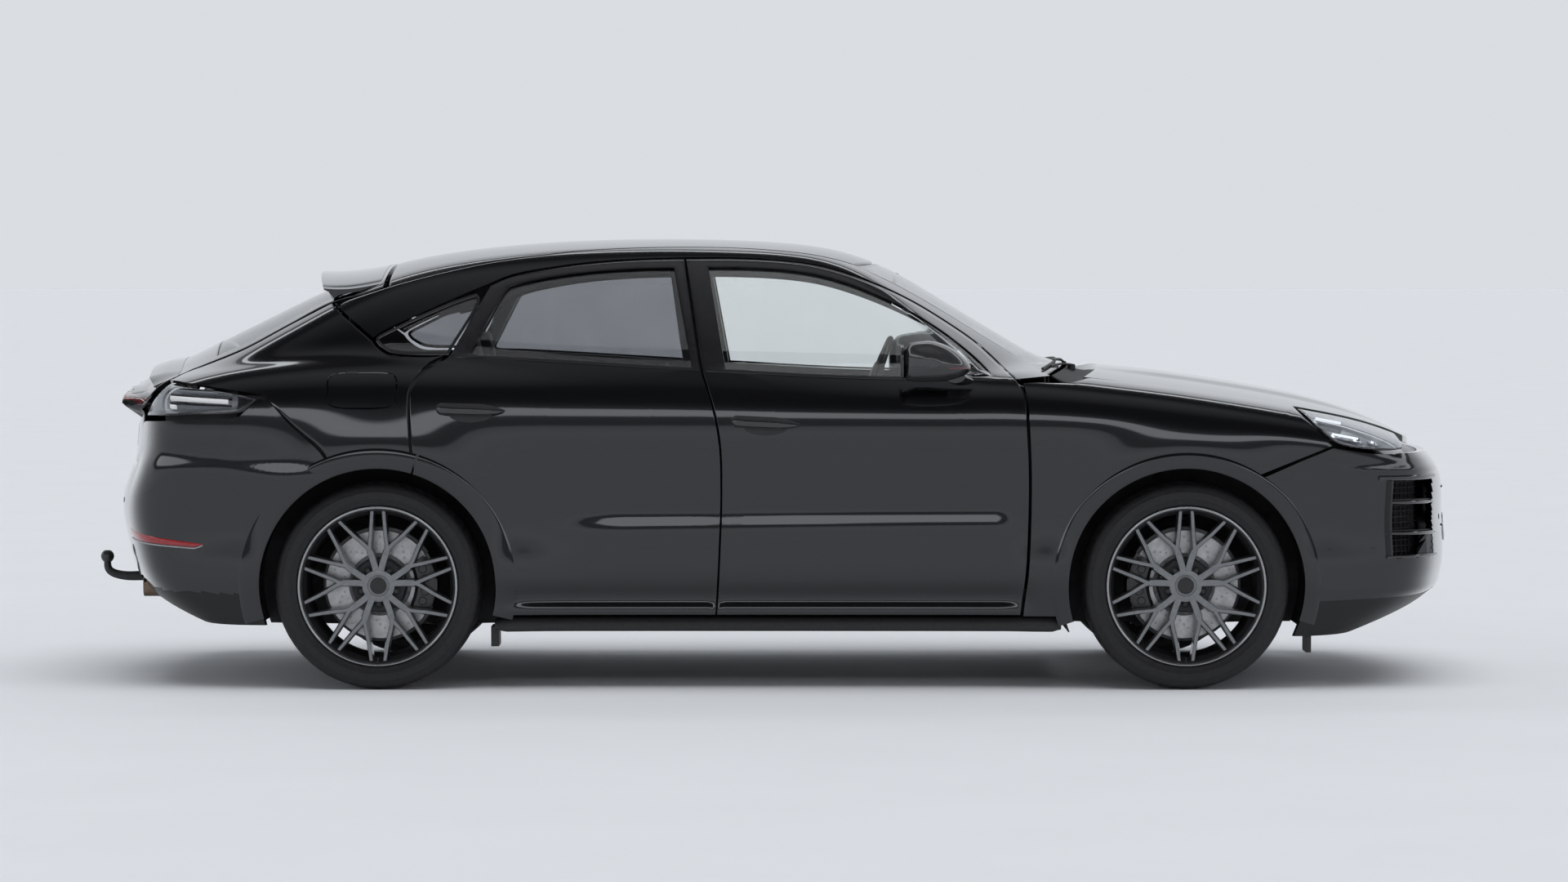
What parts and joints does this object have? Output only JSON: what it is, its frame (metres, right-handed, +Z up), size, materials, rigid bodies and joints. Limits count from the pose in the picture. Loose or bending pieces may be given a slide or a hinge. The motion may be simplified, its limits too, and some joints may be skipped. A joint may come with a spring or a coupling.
{
  "type": "coupe sport utility vehicle",
  "caption": "Coupe-roofed sport utility vehicle with opening doors, hood, tailgate and fuel door, steered front wheels, a hollow cabin and a tow bar.",
  "frame": {"origin": "middle of the bounding box, on the ground", "axes": "+X forward, +Y to the left of the car, +Z up"},
  "size_m": [5.0322, 2.1896, 1.6189],
  "materials": {
    "paint": "metallic gloss",
    "clear_glass": "clear",
    "dark_glass": "dark tint",
    "gloss_black": "gloss",
    "underbody": "matte",
    "castings": "cast",
    "frame_steel": "satin",
    "lamp": "clear",
    "red_lamp": "gloss",
    "leather": "grained",
    "trim": "grained",
    "steel": "brushed",
    "tyre": "matte",
    "alloy": "satin paint"
  },
  "bodies": {
    "body": {"floor_pan": "underbody", "firewall": "underbody", "engine_block": "castings", "sills": "underbody", "b_pillars": "gloss_black", "roof_rails": "paint", "roof_panel": "gloss_black", "windshield": "clear_glass", "rear_quarter_panels": "paint", "rear_quarter_windows": "dark_glass", "front_fenders": "paint", "headlights": "lamp", "front_bumper": "paint", "rear_bumper": "paint", "wheel_arch_liners": "underbody", "front_subframe": "frame_steel", "rear_subframe": "frame_steel", "rear_knuckles": "castings", "front_seats": "leather", "rear_bench": "leather", "dashboard": "trim", "steering_wheel": "trim", "exhaust": "steel", "tow_bar": "frame_steel", "front_grille": "gloss_black", "tail_lights": "red_lamp", "load_floor": "trim", "cowl_panel": "trim"},
    "right_front_door": {"right_front_door": "paint", "right_front_window": "clear_glass", "right_mirror": "gloss_black"},
    "left_front_door": {"left_front_door": "paint", "left_front_window": "clear_glass", "left_mirror": "gloss_black"},
    "right_rear_door": {"right_rear_door": "paint", "right_rear_window": "dark_glass"},
    "left_rear_door": {"left_rear_door": "paint", "left_rear_window": "dark_glass"},
    "hood": {"hood": "paint"},
    "tailgate": {"tailgate": "paint", "rear_window": "dark_glass", "roof_spoiler": "gloss_black"},
    "fuel_door": {"fuel_door": "paint"},
    "right_front_knuckle": {"right_front_knuckle": "castings"},
    "left_front_knuckle": {"left_front_knuckle": "castings"},
    "right_front_wheel": {"right_front_tyre": "tyre", "right_front_rim": "alloy"},
    "right_rear_wheel": {"right_rear_tyre": "tyre", "right_rear_rim": "alloy"},
    "left_front_wheel": {"left_front_tyre": "tyre", "left_front_rim": "alloy"},
    "left_rear_wheel": {"left_rear_tyre": "tyre", "left_rear_rim": "alloy"}
  },
  "joints": [
    {"name": "right_front_door_hinge", "type": "hinge", "parent": "body", "child": "right_front_door", "pos_m": [0.949, -0.945, 0.65], "axis": [0, 0, 1], "range_deg": [0, 68]},
    {"name": "left_front_door_hinge", "type": "hinge", "parent": "body", "child": "left_front_door", "pos_m": [0.949, 0.945, 0.65], "axis": [0, 0, -1], "range_deg": [0, 68]},
    {"name": "right_rear_door_hinge", "type": "hinge", "parent": "body", "child": "right_rear_door", "pos_m": [-0.157, -0.94, 0.65], "axis": [0, 0, 1], "range_deg": [0, 68]},
    {"name": "left_rear_door_hinge", "type": "hinge", "parent": "body", "child": "left_rear_door", "pos_m": [-0.157, 0.94, 0.65], "axis": [0, 0, -1], "range_deg": [0, 68]},
    {"name": "hood_hinge", "type": "hinge", "parent": "body", "child": "hood", "pos_m": [1.118, 0, 1.085], "axis": [0, -1, 0], "range_deg": [0, 55]},
    {"name": "tailgate_hinge", "type": "hinge", "parent": "body", "child": "tailgate", "pos_m": [-1.374, 0, 1.516], "axis": [0, 1, 0], "range_deg": [0, 75]},
    {"name": "fuel_door_hinge", "type": "hinge", "parent": "body", "child": "fuel_door", "pos_m": [-1.338, -0.9372, 1.072], "axis": [0, 0.4156, 0.9095], "range_deg": [0, 90]},
    {"name": "right_steer", "type": "hinge", "parent": "body", "child": "right_front_knuckle", "pos_m": [1.4955, -0.806, 0.371], "axis": [0, 0, 1], "range_deg": [-35, 35]},
    {"name": "left_steer", "type": "hinge", "parent": "body", "child": "left_front_knuckle", "pos_m": [1.4955, 0.806, 0.371], "axis": [0, 0, 1], "range_deg": [-35, 35]},
    {"name": "right_front_wheel_spin", "type": "hinge", "parent": "right_front_knuckle", "child": "right_front_wheel", "pos_m": [1.4955, -0.826, 0.371], "axis": [0, 1, 0], "continuous": true},
    {"name": "right_rear_wheel_spin", "type": "hinge", "parent": "body", "child": "right_rear_wheel", "pos_m": [-1.3995, -0.826, 0.371], "axis": [0, 1, 0], "continuous": true},
    {"name": "left_front_wheel_spin", "type": "hinge", "parent": "left_front_knuckle", "child": "left_front_wheel", "pos_m": [1.4955, 0.826, 0.371], "axis": [0, 1, 0], "continuous": true},
    {"name": "left_rear_wheel_spin", "type": "hinge", "parent": "body", "child": "left_rear_wheel", "pos_m": [-1.3995, 0.826, 0.371], "axis": [0, 1, 0], "continuous": true}
  ],
  "couplings": [
    {"joint": "left_steer", "follows": "right_steer", "ratio": 1}
  ]
}
